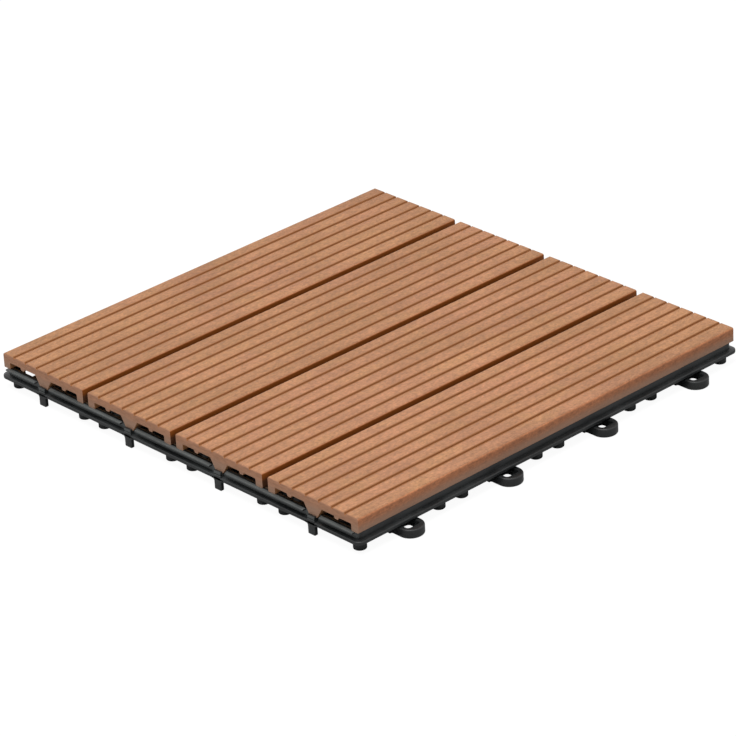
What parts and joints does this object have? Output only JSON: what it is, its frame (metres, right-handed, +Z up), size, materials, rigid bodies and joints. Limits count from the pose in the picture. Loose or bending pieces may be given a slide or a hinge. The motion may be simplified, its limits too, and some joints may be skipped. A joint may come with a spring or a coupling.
{
  "type": "interlocking deck tile",
  "caption": "Square deck tile of grooved composite slats screwed to a moulded plastic grid base with side loops and pegs.",
  "frame": {"origin": "middle of the tile, on the plane of the feet", "axes": "+Z up; +Y along the slats; +X across the slats, towards the long side that has loops"},
  "size_m": [0.3075, 0.3075, 0.022],
  "materials": {
    "composite": "matte, brushed",
    "base_plastic": "satin moulded",
    "screw_steel": "zinc plated"
  },
  "bodies": {
    "root": {"slat_1": "composite", "slat_2": "composite", "slat_3": "composite", "slat_4": "composite", "base_grid": "base_plastic", "slat_screws": "screw_steel"}
  },
  "joints": []
}
